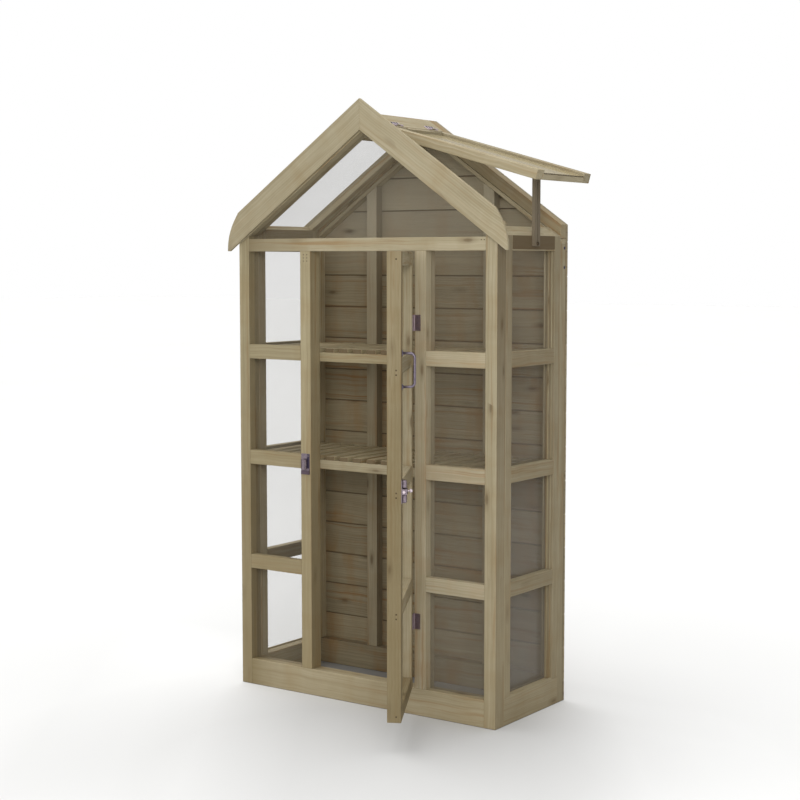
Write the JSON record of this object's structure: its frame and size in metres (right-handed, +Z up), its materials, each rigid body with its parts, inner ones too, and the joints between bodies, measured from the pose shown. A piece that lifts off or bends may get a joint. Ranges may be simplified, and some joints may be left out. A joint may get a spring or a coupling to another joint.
{
  "type": "mini greenhouse",
  "caption": "Tall wooden mini greenhouse with a boarded back, glazed front, sides and roof, a hinged door, slatted shelves and a propped roof vent.",
  "frame": {"origin": "centre of the underside of the front bottom rail, on the ground", "axes": "+Z up, +X to the right seen from the front, +Y from the front to the boarded back"},
  "size_m": [1.0321, 0.7184, 1.724],
  "materials": {
    "timber": "planed, pressure treated and weathered",
    "boards": "matched boards, pressure treated and weathered",
    "glazing": "clear styrene sheet",
    "dark_steel": "dark satin"
  },
  "bodies": {
    "frame": {"front_post_left": "timber", "front_post_right": "timber", "rear_post_left": "timber", "rear_post_right": "timber", "front_rafter_left": "timber", "front_rafter_right": "timber", "rear_rafter_left": "timber", "rear_rafter_right": "timber", "barge_board_left": "timber", "barge_board_right": "timber", "front_stile_left": "timber", "front_stile_right": "timber", "pane_front_left": "glazing", "pane_front_right": "glazing", "side_bottom_rail_left": "timber", "side_bottom_rail_right": "timber", "side_window_frame_left": "timber", "side_window_frame_right": "timber", "side_eave_rail_left": "timber", "side_eave_rail_right": "timber", "pane_side_left": "glazing", "pane_side_right": "glazing", "front_rail_left_1": "timber", "front_rail_left_2": "timber", "front_rail_left_3": "timber", "front_rail_right_1": "timber", "front_rail_right_2": "timber", "front_rail_right_3": "timber", "front_bottom_rail": "timber", "front_top_rail": "timber", "pane_gable": "glazing", "back_wall": "boards", "ridge_board": "timber", "shelf_lower": "timber", "shelf_upper": "timber", "roof_frame_left": "timber", "pane_roof_left": "glazing", "bolt_keep": "dark_steel", "door_hinge_upper_frame_leaf": "dark_steel", "door_hinge_lower_frame_leaf": "dark_steel", "vent_hinge_front_fixed_leaf": "dark_steel", "vent_hinge_rear_fixed_leaf": "dark_steel"},
    "door": {"door_stile_hinge": "timber", "door_stile_latch": "timber", "door_rail_top": "timber", "door_rail_1": "timber", "door_rail_2": "timber", "door_rail_3": "timber", "door_rail_bottom": "timber", "pane_door": "glazing", "door_handle": "dark_steel", "bolt_plate": "dark_steel", "door_hinge_upper_door_leaf": "dark_steel", "door_hinge_lower_door_leaf": "dark_steel"},
    "bolt": {"bolt": "dark_steel"},
    "vent": {"vent_frame": "timber", "pane_vent": "glazing", "vent_hinge_front_vent_leaf": "dark_steel", "vent_hinge_rear_vent_leaf": "dark_steel"},
    "stay": {"vent_stay": "timber"}
  },
  "joints": [
    {"name": "door_hinge", "type": "hinge", "parent": "frame", "child": "door", "pos_m": [0.1838, -0.026, 0.6], "axis": [0, 0, 1], "range_deg": [-120, 45]},
    {"name": "bolt_slide", "type": "slide", "parent": "door", "child": "bolt", "axis": [0.5, -0.866, 0], "range_m": [0, 0.024]},
    {"name": "vent_hinge", "type": "hinge", "parent": "frame", "child": "vent", "pos_m": [0.05435, 0.169, 1.6535], "axis": [0, 1, 0], "range_deg": [0, 19.1]},
    {"name": "stay_slide", "type": "slide", "parent": "frame", "child": "stay", "axis": [0, 0, -1], "range_m": [0, 0.1736]}
  ],
  "couplings": [
    {"joint": "stay_slide", "follows": "vent_hinge", "m_per_rad": 0.52046}
  ]
}
